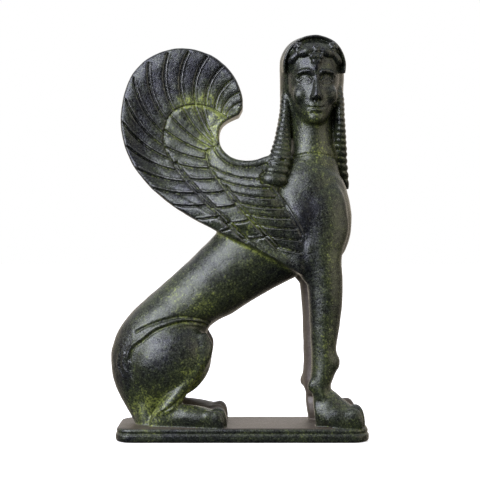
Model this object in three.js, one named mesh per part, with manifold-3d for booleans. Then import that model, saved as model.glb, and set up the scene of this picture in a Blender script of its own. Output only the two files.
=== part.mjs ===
// A seated sphinx statuette, cast in bronze in one pour together with its plinth.
// Millimetres, +Z up. The sphinx faces +X and turns its head towards -Y, its own right-hand side.
// The origin is under the middle of the whole statuette, on the underside of the plinth.
import * as THREE from "three";
import { mergeVertices } from "three/addons/utils/BufferGeometryUtils.js";
import Module from "manifold-3d";

const wasm = await Module();
wasm.setup();
const { Manifold, Mesh } = wasm;

// ---------------------------------------------------------------- driving sizes

const PLINTH = { from: -59.9, to: 64.1, halfDepth: 20, top: 7.2, corner: 9 };

// Body masses, as stations: the point on the back outline, the point on the belly or front outline
// (both x, z in the middle plane), and the half width at that section.
const TORSO = [
  { back: [-49.2, 4], front: [-41.5, 4], half: 7 },
  { back: [-55.2, 14], front: [-36, 12], half: 9 },
  { back: [-62.2, 28], front: [-24, 26], half: 13.5 },
  { back: [-63.2, 44], front: [-17, 42], half: 15.5 },
  { back: [-55.6, 59.6], front: [-14, 55], half: 15 },
  { back: [-37, 76.8], front: [-2.2, 62], half: 13.8 },
  { back: [-17.4, 94.8], front: [11.8, 70.8], half: 13.2 },
  { back: [-3.4, 110], front: [29, 80], half: 14 },
  { back: [9, 124], front: [50.6, 89], half: 15.2 },
  { back: [17.5, 134], front: [57, 106], half: 14.8 },
  { back: [23, 139], front: [54, 124.5], half: 12.4 },
  { back: [27, 142], front: [48, 134.5], half: 9.5 },
];
const NECK = [
  { z: 130, x: 37.5, wide: 13.6, front: 12, back: 12 },
  { z: 139, x: 37, wide: 12, front: 10.6, back: 10.6 },
  { z: 147, x: 37, wide: 10.4, front: 9.8, back: 10 },
  { z: 158, x: 37, wide: 10, front: 9.8, back: 10 },
  { z: 168, x: 37, wide: 10.5, front: 10, back: 10 },
];

// Limbs, as the same stations, each drawn about its own plane at y = side * offset.
const FORELEG = { offset: 10.2, farSetBack: 2.4 };
const FORELEG_STATIONS = [
  { back: [31, 129], front: [47, 129], half: 4.6 },
  { back: [26.5, 117], front: [53.2, 118], half: 7.4 },
  { back: [26.5, 103], front: [54.6, 103], half: 8.3 },
  { back: [30.5, 90], front: [51.2, 90], half: 8.3 },
  { back: [33.6, 77], front: [51.6, 77], half: 7.8 },
  { back: [34.8, 66], front: [51.4, 66], half: 7.4 },
  { back: [35.4, 54], front: [49.8, 54], half: 6.9 },
  { back: [35.8, 45], front: [48.3, 45], half: 6.5 },
  { back: [36, 38], front: [49.6, 38.5], half: 6.7 },
  { back: [35.4, 31], front: [47.6, 32], half: 6.6 },
  { back: [35.2, 26.5], front: [45.6, 26], half: 6.6 },
  { back: [37, 20], front: [47.5, 20], half: 6.4 },
];
const FOREPAW = {
  stations: [
    { back: [40.2, 6], front: [37.4, 19], half: 5.2 },
    { back: [43.2, 5], front: [44.4, 24.8], half: 7 },
    { back: [50, 5], front: [51.6, 22], half: 7.6 },
    { back: [56, 5], front: [57.4, 17.8], half: 7.2 },
    { back: [58.6, 5.5], front: [59, 13], half: 6.4 },
  ],
  offset: 11.4, toes: { from: 50, to: 62.9, spread: 7.4, height: 10.4, width: 4.1 },
};

const THIGH = { at: [-33, 9.6, 39.2], radii: [20.4, 10.2, 18.6], lean: 0.6 };
const SHIN_STATIONS = [
  { back: [-21, 52], front: [-15, 53.5], half: 3.6 },
  { back: [-22.5, 46], front: [-12, 46.6], half: 6.6 },
  { back: [-24.5, 36], front: [-14, 38], half: 6.4 },
  { back: [-31, 27], front: [-19.6, 29.4], half: 6 },
  { back: [-37.5, 20], front: [-24.5, 23], half: 5.8 },
  { back: [-41.4, 13], front: [-29, 16], half: 5.6 },
];
const SHIN_OFFSET = 12.8;
const HINDPAW = {
  stations: [
    { back: [-41.8, 6], front: [-40.6, 15.2], half: 4.4 },
    { back: [-34, 5], front: [-33.4, 19.2], half: 5.6 },
    { back: [-22, 5], front: [-20.6, 19.4], half: 6.4 },
    { back: [-12, 5], front: [-11.6, 17.6], half: 6.6 },
    { back: [-9, 5.5], front: [-9, 13.6], half: 6 },
  ],
  offset: 13.2, toes: { from: -17, to: -5, spread: 6.4, height: 9.4, width: 3.7 },
};
// The lump of metal that ties the rump to the plinth.
const RUMP = [
  { z: 5, x: -44, wide: 6.6, front: 12.6, back: 12.6 },
  { z: 12, x: -45, wide: 7.6, front: 12.6, back: 12.6 },
  { z: 24, x: -46, wide: 9, front: 10.5, back: 10.5 },
];

// The two wings, joined back to back as one slab that thickens towards the shoulders.
const WING = { thinHalf: 4.4, thickHalf: 17.4, thinAt: [-44, 172], thickAt: [28, 103], edge: 1.5 };
// The leading edge, from the curled tip down the inner curve to the shoulder.
const WING_INNER = [
  [0.6, 160], [-4.8, 157.6], [-8.2, 154.6], [-9.4, 150], [-8.5, 144.3], [-5, 140],
  [0.5, 137.6], [8, 137.6], [15, 139.6], [24, 141],
];
// The seam at the shoulder, then the lower edge across the flank and round the outside of the curl.
const WING_SEAM = [[20, 122.5], [26, 111], [31, 100], [32, 91], [32, 80.5]];
const WING_OUTER = [
  [22, 86.2], [6, 94.8], [-11.4, 103.2], [-24, 109.8], [-37.5, 119.2], [-49.2, 131.3],
  [-56.3, 145.2], [-58.3, 161.3], [-53.9, 179], [-43.8, 189.5], [-29, 194], [-14.2, 190.6],
  [-3.3, 181.6], [1.8, 171], [2.5, 163.5],
];
// Boundaries of the feather rows, each from the curl towards the body.
const ROW_OUTER = [
  [-6, 159], [-15, 164.2], [-25, 164.9], [-33.2, 160.8], [-36.4, 152.5], [-35.8, 143.4],
  [-28.5, 131.3], [-14.3, 115.2], [3.8, 97.4],
];
const ROW_INNER = [
  [-8.8, 145.4], [-15.4, 142.2], [-15, 137.6], [-12.4, 131.6], [-1.3, 116.6], [9.8, 104.2],
  [19.7, 93.4],
];
const COVERT_ENDS = [[9, 130], [16, 122], [24.5, 110.5], [29.6, 100], [30.8, 90.5]];
const BAND = 3.4;
const CUT = { width: 1.2, depth: 0.6 };

// The head looks towards -Y; its own frame has x to its left, y backwards and z up.
const HEAD = { at: [37.3, 0, 176], turn: 0.06 };
const FACE = [
  { z: -20.8, wide: 3.6, front: 13.6, back: 6 },
  { z: -19, wide: 6.2, front: 15.4, back: 8 },
  { z: -15.5, wide: 8.6, front: 16, back: 10 },
  { z: -11, wide: 10.3, front: 16.2, back: 10 },
  { z: -6, wide: 11.9, front: 16, back: 10 },
  { z: 0, wide: 12.9, front: 15.7, back: 10 },
  { z: 6, wide: 13.2, front: 15.6, back: 10 },
  { z: 11, wide: 13, front: 15, back: 10 },
  { z: 17, wide: 11.6, front: 12.6, back: 10 },
];
const NOSE = [
  { z: 4, wide: 1.7, front: 15.8, back: -12 },
  { z: 1, wide: 1.4, front: 16.8, back: -12 },
  { z: -4.5, wide: 1.8, front: 18.6, back: -12 },
  { z: -7.6, wide: 2.7, front: 19.4, back: -12 },
  { z: -9.2, wide: 2.4, front: 18.2, back: -12 },
  { z: -9.8, wide: 1.6, front: 16.4, back: -12 },
];
const HAIR = [
  { z: -14, wide: 13.6, front: 5, back: 12 },
  { z: -8, wide: 15.8, front: 8, back: 16 },
  { z: 1, wide: 16, front: 11, back: 17.2 },
  { z: 9, wide: 16.2, front: 12.6, back: 17.6 },
  { z: 13, wide: 15.9, front: 12.8, back: 17 },
  { z: 17, wide: 14.4, front: 11.8, back: 15.4 },
  { z: 20.5, wide: 11.4, front: 9.4, back: 12.2 },
  { z: 22.8, wide: 7.6, front: 6.2, back: 8.2 },
  { z: 24.1, wide: 3, front: 2.6, back: 3.4 },
];
const FRINGE = [
  { z: 8.6, wide: 13.4, front: 15, back: 6 },
  { z: 10, wide: 14, front: 16.6, back: 6 },
  { z: 13, wide: 14, front: 16.8, back: 6 },
  { z: 16, wide: 13, front: 15.6, back: 6 },
  { z: 19, wide: 10.8, front: 12.8, back: 6 },
  { z: 20.6, wide: 8.6, front: 9.8, back: 6 },
];
const BACK_HAIR = { ridges: 7, from: 168, to: 133, narrowing: 3.2, swell: 0.6 };
// Tresses: path points with the half width across and half depth, from the head down.
const TRESS_NEAR = [
  { at: [24.2, -3.4, 174], half: 3.2, deep: 4.6 },
  { at: [23.1, -4.6, 160], half: 3, deep: 4.4 },
  { at: [22.2, -7.6, 148], half: 4.3, deep: 4.2 },
  { at: [20.8, -11.6, 139], half: 5.6, deep: 4 },
  { at: [18.8, -13.2, 132], half: 6.2, deep: 3.8 },
  { at: [17, -14.2, 125.2], half: 6, deep: 3.6 },
];
const TRESS_FAR = [
  { at: [50, -3, 174], half: 3.2, deep: 4.6 },
  { at: [50.8, -2.4, 160], half: 2.9, deep: 4 },
  { at: [50.9, 0, 148], half: 3.4, deep: 4 },
  { at: [51.2, 4, 138], half: 4, deep: 3.6 },
  { at: [53, 6.5, 130], half: 3, deep: 3 },
  { at: [55.2, 7.5, 124], half: 1.2, deep: 1.6 },
];

// ---------------------------------------------------------------- solids from geometry

// A closed geometry as a manifold solid, so that it can be joined and cut.
function solid(geometry) {
  const bare = geometry.clone();
  for (const name of Object.keys(bare.attributes)) if (name !== "position") bare.deleteAttribute(name);
  const merged = mergeVertices(bare, 1e-4);
  return new Manifold(
    new Mesh({
      numProp: 3,
      vertProperties: merged.attributes.position.array,
      triVerts: new Uint32Array(merged.index.array),
    }),
  );
}

function ellipsoid(at, radii, { across = 16, down = 10, turn = [0, 0, 0] } = {}) {
  const ball = new THREE.SphereGeometry(1, across, down);
  const matrix = new THREE.Matrix4().compose(
    new THREE.Vector3(...at),
    new THREE.Quaternion().setFromEuler(new THREE.Euler(...turn)),
    new THREE.Vector3(...radii),
  );
  return solid(ball.applyMatrix4(matrix));
}

// Closes a run of equal rings into one geometry, each end with a fan to its own middle or to the
// point given for that end.
function skin(rings, tips = []) {
  const count = rings[0].length;
  const vertices = rings.flat().flatMap((p) => [p.x, p.y, p.z]);
  const faces = [];
  for (let r = 0; r + 1 < rings.length; r++)
    for (let i = 0; i < count; i++) {
      const a = r * count + i, b = r * count + ((i + 1) % count);
      faces.push(a, b, b + count, a, b + count, a + count);
    }
  for (const [ring, flip, tip] of [[0, true, tips[0]], [rings.length - 1, false, tips[1]]]) {
    const middle = tip ?? rings[ring].reduce((sum, p) => sum.add(p), new THREE.Vector3()).divideScalar(count);
    const hub = vertices.length / 3;
    vertices.push(middle.x, middle.y, middle.z);
    for (let i = 0; i < count; i++) {
      const a = ring * count + i, b = ring * count + ((i + 1) % count);
      faces.push(...(flip ? [b, a, hub] : [a, b, hub]));
    }
  }
  const geometry = new THREE.BufferGeometry();
  geometry.setAttribute("position", new THREE.Float32BufferAttribute(vertices, 3));
  geometry.setIndex(faces);
  return geometry;
}

// The solid between a run of rings, whichever way round they were drawn.
function outward(rings, tips = []) {
  const made = solid(skin(rings, tips));
  return made.volume() < 0 ? solid(skin([...rings].reverse(), [...tips].reverse())) : made;
}

const inSidePlane = ([x, z]) => new THREE.Vector3(x, 0, z);
const curveOf = (points) => new THREE.CatmullRomCurve3(points, false, "catmullrom", 0.5);

// A limb or body drawn through its stations: every section is an ellipse whose ends lie on the
// two side outlines and whose half width is the station's.
function limb(stations, { offset = 0, side = 1, shift = 0, steps = 2, around = 14 } = {}) {
  const back = curveOf(stations.map((s) => inSidePlane(s.back)));
  const front = curveOf(stations.map((s) => inSidePlane(s.front)));
  const half = curveOf(stations.map((s) => new THREE.Vector3(0, s.half, 0)));
  const sections = (stations.length - 1) * steps;
  const rings = [];
  for (let k = 0; k <= sections; k++) {
    const t = k / sections;
    const a = back.getPoint(t), b = front.getPoint(t);
    const middle = a.clone().add(b).multiplyScalar(0.5);
    const reach = b.clone().sub(a).multiplyScalar(0.5);
    const ring = [];
    for (let i = 0; i < around; i++) {
      const turn = (i / around) * 2 * Math.PI;
      const p = middle.clone().addScaledVector(reach, Math.cos(turn));
      p.y += side * offset + half.getPoint(t).y * Math.sin(turn);
      p.x += shift;
      ring.push(p);
    }
    rings.push(ring);
  }
  return outward(rings);
}

// An upright form drawn by level sections: half width across, and its reach to -Y and to +Y.
function column(stations, { steps = 1, around = 16 } = {}) {
  const rings = [];
  for (let k = 0; k <= (stations.length - 1) * steps; k++) {
    const low = stations[Math.floor(k / steps)], high = stations[Math.min(Math.ceil(k / steps), stations.length - 1)];
    const f = (k % steps) / steps;
    const mix = (key) => (low[key] ?? 0) * (1 - f) + (high[key] ?? 0) * f;
    const middle = (mix("back") - mix("front")) / 2, reach = (mix("back") + mix("front")) / 2;
    const ring = [];
    for (let i = 0; i < around; i++) {
      const turn = (i / around) * 2 * Math.PI;
      ring.push(new THREE.Vector3(
        mix("x") + mix("wide") * Math.cos(turn), middle + reach * Math.sin(turn), mix("z"),
      ));
    }
    rings.push(ring);
  }
  return outward(rings);
}

// A plaited tress: a flattened cord down its path, nipped in between one ridge and the next.
function tress(stations, ridges, around = 6) {
  const path = curveOf(stations.map((s) => new THREE.Vector3(...s.at)));
  const size = curveOf(stations.map((s) => new THREE.Vector3(s.half, s.deep, 0)));
  const rings = [];
  for (let k = 0; k <= ridges * 2; k++) {
    const t = k / (ridges * 2);
    const centre = path.getPoint(t), { x: half, y: deep } = size.getPoint(t);
    const nip = k % 2 ? 1 : 0.82;
    const ring = [];
    for (let i = 0; i < around; i++) {
      const turn = (i / around) * 2 * Math.PI;
      ring.push(new THREE.Vector3(
        centre.x + half * nip * Math.cos(turn), centre.y + deep * nip * Math.sin(turn), centre.z,
      ));
    }
    rings.push(ring);
  }
  return outward(rings);
}

// A round cord along a row of points.
function cord(points, radius, around = 6) {
  const rings = points.map((p, i) => {
    const ahead = points[Math.min(i + 1, points.length - 1)], behind = points[Math.max(i - 1, 0)];
    const along = ahead.clone().sub(behind).normalize();
    const out = new THREE.Vector3(0, 1, 0).cross(along).normalize();
    const up = along.clone().cross(out);
    const ring = [];
    for (let j = 0; j < around; j++) {
      const turn = (j / around) * 2 * Math.PI;
      const arm = out.clone().multiplyScalar(Math.cos(turn)).addScaledVector(up, Math.sin(turn));
      ring.push(p.clone().addScaledVector(arm, radius));
    }
    return ring;
  });
  return outward(rings);
}

// ---------------------------------------------------------------- plinth

// The rim's profile, from the underside up: how far it is drawn in, and its height. The fine step
// two thirds of the way up is the line that runs round the rim.
const RIM = [[1.4, 0], [0.3, 0.5], [0, 1.5], [0, 4.3], [0.5, 4.6], [0.5, 5.8], [1.1, 6.8], [2.1, 7.2]];

function plinth() {
  const { from, to, halfDepth, corner } = PLINTH;
  const quarter = 4;
  const rings = RIM.map(([inset, z]) => {
    const ring = [];
    for (let i = 0; i < 4 * quarter; i++) {
      const turn = ((Math.floor(i / quarter) + (i % quarter) / (quarter - 1)) * Math.PI) / 2;
      const inRight = i < quarter || i >= 3 * quarter, inBack = i < 2 * quarter;
      ring.push(new THREE.Vector3(
        (inRight ? to - corner : from + corner) + (corner - inset) * Math.cos(turn),
        (inBack ? 1 : -1) * (halfDepth - corner) + (corner - inset) * Math.sin(turn),
        z,
      ));
    }
    return ring;
  });
  return outward(rings);
}

// ---------------------------------------------------------------- legs and paws

// A lion's paw: a rounded foot, and four toes that bend at the knuckle and come down to the plinth.
function paw({ stations, offset, toes }, side, shift = 0) {
  const foot = limb(stations, { offset, side, shift, steps: 1, around: 10 });
  const forms = [foot];
  for (let i = 0; i < 4; i++) {
    const across = (i - 1.5) / 1.5;
    const y = side * offset + across * (toes.spread - toes.width / 2);
    const reach = Math.abs(across) * 1.6;
    const from = toes.from + shift - reach, to = toes.to + shift - reach;
    const bent = (f, rise) => [from + (to - from) * f, PLINTH.top + toes.height * rise];
    forms.push(
      limb(
        [
          { back: bent(0.1, 0.2), front: bent(0.16, 1.08), half: toes.width * 0.36 },
          { back: bent(0.6, -0.1), front: bent(0.66, 0.94), half: toes.width * 0.54 },
          { back: bent(0.95, 0), front: bent(1, 0.4), half: toes.width * 0.36 },
        ],
        { offset: Math.abs(y), side: Math.sign(y), steps: 1, around: 6 },
      ),
    );
  }
  return forms;
}

function foreleg(side) {
  const shift = side > 0 ? -FORELEG.farSetBack : 0;
  const leg = limb(FORELEG_STATIONS, { offset: FORELEG.offset, side, shift, steps: 1, around: 10 });
  return Manifold.union([leg, ...paw(FOREPAW, side, shift)]);
}

function hindleg(side) {
  const [x, y, z] = THIGH.at;
  const thigh = ellipsoid([x, side * y, z], THIGH.radii, { across: 16, down: 10, turn: [0, -THIGH.lean, 0] });
  const shin = limb(SHIN_STATIONS, { offset: SHIN_OFFSET, side, steps: 1, around: 10 });
  return Manifold.union([thigh, shin, ...paw(HINDPAW, side)]);
}

// ---------------------------------------------------------------- the wings

// Half the slab's thickness at a place in the side view. It grows evenly from the tip to the
// shoulder, so each face of the slab is one plane.
function wingHalf(x, z) {
  const [x0, z0] = WING.thinAt, [x1, z1] = WING.thickAt;
  const along = ((x - x0) * (x1 - x0) + (z - z0) * (z1 - z0)) / ((x1 - x0) ** 2 + (z1 - z0) ** 2);
  return WING.thinHalf + (WING.thickHalf - WING.thinHalf) * along;
}

const planar = (points) => new THREE.SplineCurve(points.map(([x, z]) => new THREE.Vector2(x, z)));

function wingSlab() {
  const rim = [
    ...planar(WING_INNER).getSpacedPoints(15),
    ...planar(WING_SEAM).getSpacedPoints(4),
    ...planar(WING_OUTER).getSpacedPoints(32),
  ];
  const slab = new THREE.ExtrudeGeometry(new THREE.Shape(rim), {
    depth: 1, bevelThickness: 0.5, bevelSize: WING.edge, bevelOffset: -WING.edge, bevelSegments: 1,
  });
  // The slab comes out 2 thick, from -0.5 to 1.5. It is stood up in the side plane, centred, and
  // stretched to its own thickness at each place.
  slab.translate(0, 0, -0.5).rotateX(Math.PI / 2);
  const place = slab.attributes.position;
  for (let i = 0; i < place.count; i++)
    place.setY(i, place.getY(i) * wingHalf(place.getX(i), place.getZ(i)));
  return solid(slab);
}

// A V-shaped chisel stroke along a curve on one face of the wing slab, running out to a point at
// each end.
function stroke(curve, side, pieces) {
  const at = (t, rise, lean = 0) => {
    const p = curve.getPointAt(t);
    const across = curve.getTangentAt(t).rotateAround(new THREE.Vector2(), Math.PI / 2);
    p.addScaledVector(across, lean * CUT.width);
    return new THREE.Vector3(p.x, side * (wingHalf(p.x, p.y) + rise * CUT.depth), p.y);
  };
  const run = Math.min(0.3, 1.5 / curve.getLength());
  const rings = [];
  for (let k = 0; k <= pieces; k++) {
    const t = run + ((1 - 2 * run) * k) / pieces;
    rings.push([at(t, -1), at(t, 1, 1), at(t, 1, -1)]);
  }
  return outward(rings, [at(0, 1), at(1, 1)]);
}

// A curve moved sideways.
function beside(curve, distance) {
  const places = curve.getSpacedPoints(12).map((p, i) => {
    const across = curve.getTangentAt(i / 12).rotateAround(new THREE.Vector2(), Math.PI / 2);
    return p.addScaledVector(across, distance);
  });
  return new THREE.SplineCurve(places);
}

// One feather's edge, from its root to its end, bowed to one side.
function featherEdge(root, end, bow) {
  const sag = new THREE.Vector2(end.y - root.y, root.x - end.x).multiplyScalar(2 * bow);
  const middle = root.clone().add(end).multiplyScalar(0.5).add(sag);
  return new THREE.QuadraticBezierCurve(root, middle, end);
}

// Three rows of feathers: long ones round the outside, a second row inside them, and the
// coverts that run out towards the shoulder. Each entry is a curve and its number of pieces.
function featherEdges() {
  const outer = planar(WING_OUTER), rowOuter = planar(ROW_OUTER), rowInner = planar(ROW_INNER);
  const covertEnds = planar(COVERT_ENDS);
  const edges = [];
  const trimmed = (root, end, bow, pieces) => {
    const gap = 0.7 / root.distanceTo(end);
    edges.push([featherEdge(root.clone().lerp(end, gap), end.clone().lerp(root, gap), bow), pieces]);
  };
  const long = 17, second = 12, coverts = 8;
  for (let i = 0; i < long; i++) {
    const u = i / (long - 1);
    const root = rowOuter.getPointAt(0.91 * u ** 1.3), end = outer.getPointAt(0.985 - 0.823 * u ** 1.25);
    trimmed(root, end.lerp(root, 0.1), -0.15 * (1 - u) ** 0.7, u < 0.6 ? 2 : 1);
  }
  for (let i = 0; i < second; i++) {
    const u = i / (second - 1);
    trimmed(rowInner.getPointAt(0.02 + 0.85 * u ** 2.2), rowOuter.getPointAt(0.12 + 0.86 * u ** 1.3), -0.05, 1);
  }
  for (let i = 0; i < coverts; i++) {
    const u = i / (coverts - 1);
    trimmed(rowInner.getPointAt(0.22 + 0.75 * u), covertEnds.getPointAt(0.06 + 0.9 * u), 0.07 * (1 - u), 1);
  }
  return edges;
}

function wings() {
  const rowOuter = planar(ROW_OUTER), band = beside(planar(WING_INNER.slice(3)), -BAND);
  const lines = [...featherEdges(), [rowOuter, 11], [planar(ROW_INNER), 7], [band, 5]];
  const cuts = [-1, 1].flatMap((side) => lines.map(([curve, pieces]) => stroke(curve, side, pieces)));
  return wingSlab().subtract(Manifold.union(cuts));
}

// ---------------------------------------------------------------- head and hair

// The face is drawn in the head's own frame, looking towards -Y.
function head() {
  const pair = (make) => [-1, 1].map(make);
  const small = { across: 8, down: 4 };
  const sockets = pair((s) => ellipsoid([s * 5.3, -17.4, 0.6], [4.1, 2.4, 2.4], { across: 8, down: 6 }));
  const bare = column(FACE, { around: 14 }).add(column(NOSE, { around: 6 })).subtract(Manifold.union(sockets));
  const arch = [];
  for (let i = 0; i <= 12; i++) {
    const turn = -0.2 + (i / 12) * (Math.PI + 0.4);
    arch.push(new THREE.Vector3(14.6 * Math.cos(turn), -8.6 - 2.6 * Math.sin(turn), 8 + 13.6 * Math.sin(turn)));
  }
  const forms = [
    bare,
    ...pair((s) => ellipsoid([s * 5.3, -14.6, 0.2], [3.1, 1.6, 1.35], { across: 8, down: 6 })),
    ellipsoid([0, -16, -12.6], [4, 1.4, 0.9], small),
    ellipsoid([0, -15.8, -14.3], [3.3, 1.4, 1], small),
    ellipsoid([0, -13.6, -17.8], [4.2, 2.5, 2.8], small),
    ...pair((s) => ellipsoid([s * 6.4, -14.2, 14.6], [3.2, 1.8, 2.8], small)),
    ...pair((s) => ellipsoid([s * 10.8, -10.6, 12.6], [2.8, 2, 2.8], small)),
    ellipsoid([0, -15.6, 15.6], [2.8, 1.6, 2.8], small),
    ellipsoid([0, -16, 9.4], [2.6, 1.4, 3.2], small),
    cord(arch, 1.3, 5),
    column(HAIR, { around: 14 }),
    column(FRINGE, { around: 12 }),
  ];
  const placed = new THREE.Matrix4().makeRotationZ(HEAD.turn).setPosition(...HEAD.at);
  return Manifold.union(forms).transform(placed.elements);
}

// The hair behind the neck, waved in level ridges down to the shoulders. The tresses rest on it.
function backHair() {
  const { ridges, from, to, narrowing, swell } = BACK_HAIR;
  const stations = [];
  for (let k = 0; k <= 2 * ridges; k++) {
    const f = k / (2 * ridges), crest = k % 2 ? swell : 0;
    stations.push({
      z: from + (to - from) * f, x: HEAD.at[0], wide: 15.4 - narrowing * f * f + crest,
      front: 2 + 5 * f, back: 15.6 - narrowing * f + crest,
    });
  }
  return column(stations, { around: 12 });
}

// ---------------------------------------------------------------- the casting

function casting() {
  const forms = [plinth(), limb(TORSO, { steps: 2, around: 14 }), column(RUMP, { around: 8 })];
  forms.push(column(NECK, { around: 12 }), head(), backHair());
  forms.push(tress(TRESS_NEAR, 11), tress(TRESS_FAR, 11), wings());
  for (const side of [-1, 1]) forms.push(foreleg(side), hindleg(side));
  return Manifold.union(forms);
}

// The finished casting as a mesh, with the origin under its middle.
function meshOf(made, name, material) {
  const { numProp, vertProperties, triVerts } = made.getMesh();
  const geometry = new THREE.BufferGeometry();
  geometry.setAttribute("position", new THREE.BufferAttribute(vertProperties, numProp));
  geometry.setIndex(new THREE.BufferAttribute(triVerts, 1));
  geometry.computeBoundingBox();
  const middle = geometry.boundingBox.getCenter(new THREE.Vector3());
  geometry.translate(-middle.x, -middle.y, -geometry.boundingBox.min.z);
  const mesh = new THREE.Mesh(geometry, material);
  mesh.name = name;
  return mesh;
}

const patinatedBronze = new THREE.MeshStandardMaterial({
  name: "patinated_bronze", color: 0x2c3029, roughness: 0.42, metalness: 0.35,
});

const statuette = new THREE.Group();
statuette.add(meshOf(casting(), "sphinx_with_plinth", patinatedBronze));

export default statuette;
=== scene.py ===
"""A seated sphinx statuette in patinated bronze, cast in one pour with its plinth.

The forms are drawn in the figure's own millimetres, fused into one skin, carved, and then brought
to the frame's metres. The sphinx faces +X and turns its head towards -Y.
"""

import math

import bmesh
import bpy
import numpy as np
from mathutils import Euler, Matrix, Vector, noise


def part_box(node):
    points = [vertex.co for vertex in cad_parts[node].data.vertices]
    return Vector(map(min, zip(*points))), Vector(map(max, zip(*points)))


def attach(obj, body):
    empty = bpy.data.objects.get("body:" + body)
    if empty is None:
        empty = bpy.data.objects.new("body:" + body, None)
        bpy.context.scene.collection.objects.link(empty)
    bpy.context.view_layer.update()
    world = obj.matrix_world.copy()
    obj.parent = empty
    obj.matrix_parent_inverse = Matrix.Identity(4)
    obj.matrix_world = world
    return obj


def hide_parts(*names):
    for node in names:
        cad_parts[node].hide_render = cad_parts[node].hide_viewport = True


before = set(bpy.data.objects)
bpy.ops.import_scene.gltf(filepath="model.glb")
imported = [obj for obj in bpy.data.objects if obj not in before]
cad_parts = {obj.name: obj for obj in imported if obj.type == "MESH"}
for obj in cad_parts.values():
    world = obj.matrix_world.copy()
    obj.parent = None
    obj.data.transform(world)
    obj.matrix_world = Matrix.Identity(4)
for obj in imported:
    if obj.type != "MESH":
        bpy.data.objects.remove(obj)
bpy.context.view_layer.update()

# ------------------------------------------------------------------ sizes, in figure millimetres

NODE = "sphinx_with_plinth"
LOW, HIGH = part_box(NODE)
FIGURE_HEIGHT = 200.1
MM = (HIGH.z - LOW.z) / FIGURE_HEIGHT

VOXEL = 0.36
MOST_TRIANGLES = 192_000
AROUND = 40  # sides round a form
STEPS = 6  # sections between one station and the next

PLINTH = {"from": -59.9, "to": 64.1, "half_depth": 20.0, "top": 7.2, "corner": 9.0}
MIDDLE = Vector((PLINTH["to"] - HIGH.x / MM, 0, LOW.z / MM))
# The rim's profile, from the foot up: how far in from the edge, and the height.
RIM = [
    (1.4, 0), (0.4, 0.4), (0, 1.4), (0, 3.8), (0.9, 4.3), (0.9, 4.7), (0.4, 5.1), (0.5, 6.0),
    (1.0, 6.9), (2.0, 7.2),
]

# Stations of the body masses: the point on the back outline, the point on the belly or front
# outline (both x, z in the middle plane) and the half width there.
TORSO = [
    ((-49.2, 4), (-41.5, 4), 7),
    ((-55.2, 14), (-36, 12), 9),
    ((-62.0, 28), (-24, 26), 13.5),
    ((-63.0, 44), (-17, 42), 15.5),
    ((-55.6, 59.6), (-14, 55), 15),
    ((-37, 76.8), (-2.2, 62), 13.8),
    ((-17.4, 94.8), (11.8, 70.8), 13.2),
    ((-3.4, 110), (29, 80), 14),
    ((9, 124), (50.6, 89), 15.8),
    ((17.5, 134), (57, 106), 15.6),
    ((23, 139), (54, 124.5), 13.0),
    ((27, 142), (48, 134.5), 9.5),
    ((30.5, 143.4), (44.5, 138.6), 5.5),
]
# An upright form's stations: height, middle, half width, and reach to the front (-Y) and back.
NECK = [
    (130, 37.5, 13.6, 12, 12),
    (139, 37, 12, 10.6, 10.6),
    (147, 37, 10.4, 9.8, 10),
    (158, 37, 10, 9.8, 10),
    (168, 37, 10.5, 10, 10),
]
# Legs and paws: stations as the torso's. Offset is how far a leg stands from the middle plane.
FORELEG_OFFSET = 10.2
FAR_SET_BACK = 2.4
FORELEG = [
    ((34, 130), (44, 129), 0.8),
    ((29, 123.5), (50, 124), 4.2),
    ((26.5, 116), (53.2, 116), 6.4),
    ((26.5, 103), (54.6, 103), 7.6),
    ((30.5, 90), (51.2, 90), 7.9),
    ((33.6, 77), (51.6, 77), 7.8),
    ((34.8, 66), (51.4, 66), 7.4),
    ((35.4, 54), (49.8, 54), 6.9),
    ((35.8, 45), (48.3, 45), 6.5),
    ((36, 38), (49.6, 38.5), 6.7),
    ((35.4, 31), (47.6, 32), 6.6),
    ((35.2, 26.5), (45.6, 26), 6.6),
    ((37, 20), (47.5, 20), 6.4),
]
FOREPAW = {
    "stations": [
        ((38.6, 6), (36.6, 20), 4.8),
        ((42.6, 5), (44.6, 25.4), 6.2),
        ((49.4, 5), (51.4, 20.6), 6.6),
        ((54, 5), (55.6, 17.4), 6.2),
        ((57, 5.5), (57.6, 12.6), 5.2),
    ],
    "offset": 11.4, "from": 46, "to": 62.6, "spread": 8.3, "height": 10.8, "width": 4.4,
}
HINDPAW = {
    "stations": [
        ((-43.2, 7), (-42.6, 13), 1.2),
        ((-40.6, 5), (-39.8, 17.0), 2.6),
        ((-34, 5), (-33.4, 18.4), 4.2),
        ((-22, 5), (-20.6, 17.4), 6.2),
        ((-14, 5), (-13, 15.4), 6.0),
        ((-10, 5.5), (-10, 12), 5.2),
    ],
    "offset": 12.9, "from": -20, "to": -4.8, "spread": 6.4, "height": 9.2, "width": 3.9,
}
# A toe's sections, from its root to its claw: the lower and the upper outline, each as a share of
# the toe's length and height, and the half width as a share of its width.
TOES = 4
TOE = [
    ((-0.1, 0.2), (-0.06, 0.8), 0.26),
    ((0.14, 0.0), (0.18, 0.98), 0.38),
    ((0.4, -0.1), (0.46, 0.94), 0.44),
    ((0.66, -0.1), (0.72, 1.04), 0.54),
    ((0.82, -0.1), (0.9, 0.9), 0.54),
    ((0.93, -0.06), (0.98, 0.56), 0.46),
    ((0.99, 0.02), (1.0, 0.22), 0.26),
]
THIGH = {"at": (-33, 8.6, 39.2), "radii": (20.6, 10.6, 18.8), "lean": 0.6}
SHIN_OFFSET = 12.8
SHIN = [
    ((-21, 52), (-15, 53.5), 1.2),
    ((-22.5, 46), (-12, 46.6), 2.8),
    ((-24.5, 36), (-14, 38), 4.0),
    ((-31, 27), (-19.6, 29.4), 4.6),
    ((-37.5, 20), (-24.5, 23), 5.0),
    ((-41.4, 13), (-29, 16), 5.2),
]
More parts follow.
